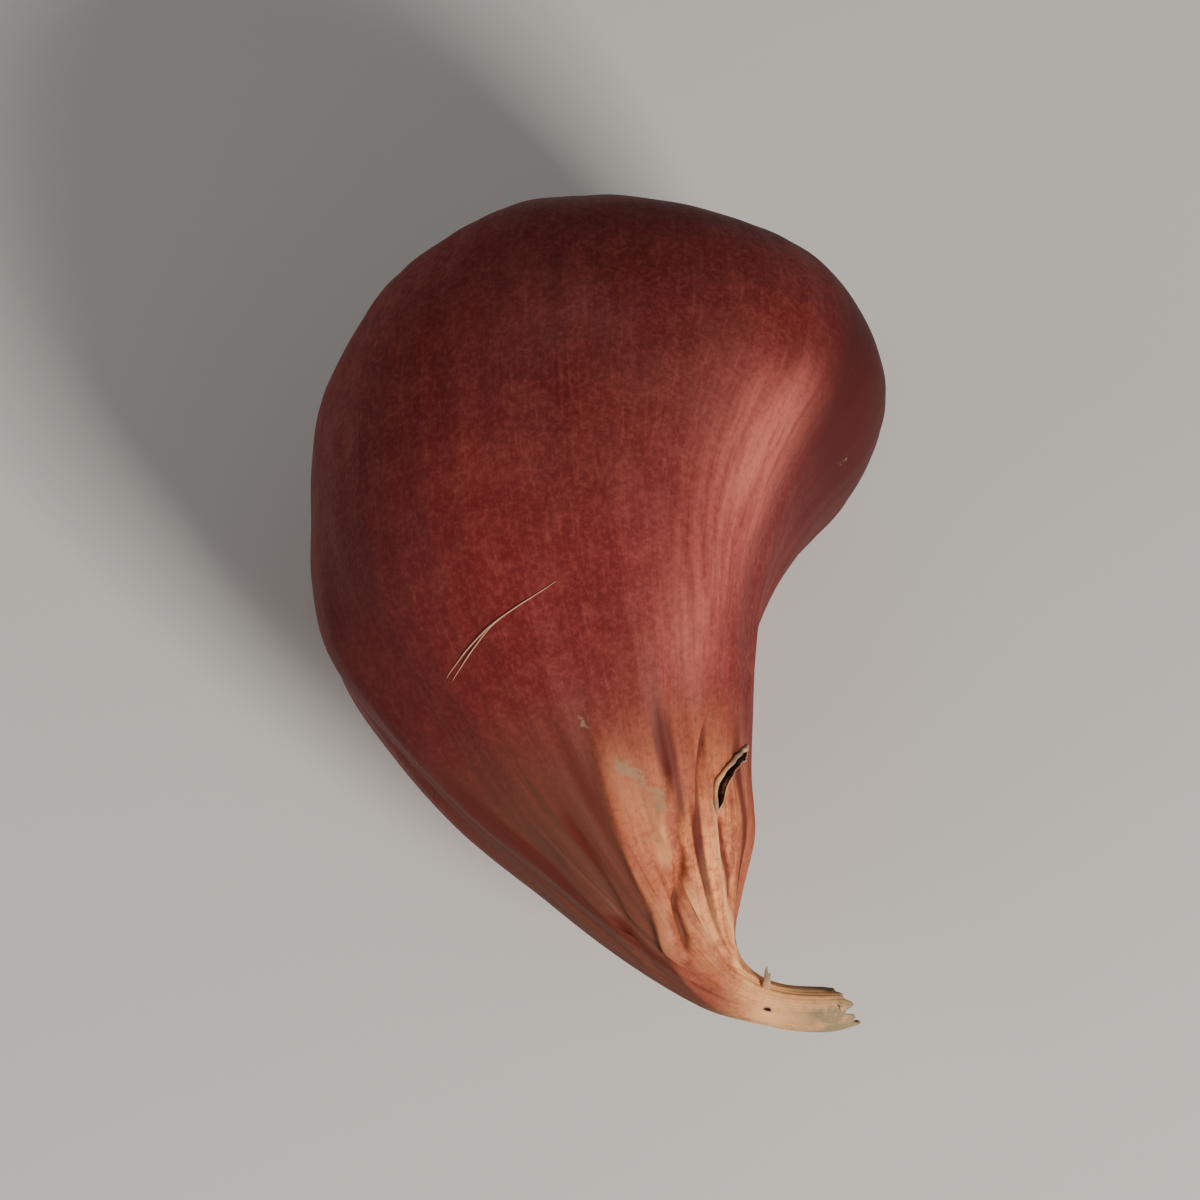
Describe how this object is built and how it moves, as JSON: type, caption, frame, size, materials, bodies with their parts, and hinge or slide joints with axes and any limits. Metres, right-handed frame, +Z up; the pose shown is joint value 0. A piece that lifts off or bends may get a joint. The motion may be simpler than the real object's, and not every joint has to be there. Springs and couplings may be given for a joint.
{
  "type": "tulip bulb",
  "caption": "Dry tulip bulb in a smooth papery tunic, with a pleated bent neck, a torn tip and a root plate with a crown of dried roots, lying on its side.",
  "frame": {"origin": "the middle of the object's box, on the surface that the bulb lies on", "axes": "+Z up from the surface; the root plate faces +Y and the neck runs towards -Y and hooks towards +X"},
  "size_m": [0.038, 0.0574, 0.034],
  "materials": {
    "tunic": "dry papery skin, dark chestnut red, satin",
    "dried_root": "dry, rough, matt"
  },
  "bodies": {
    "root": {"bulb": "tunic", "root_plate": "dried_root"}
  },
  "joints": []
}
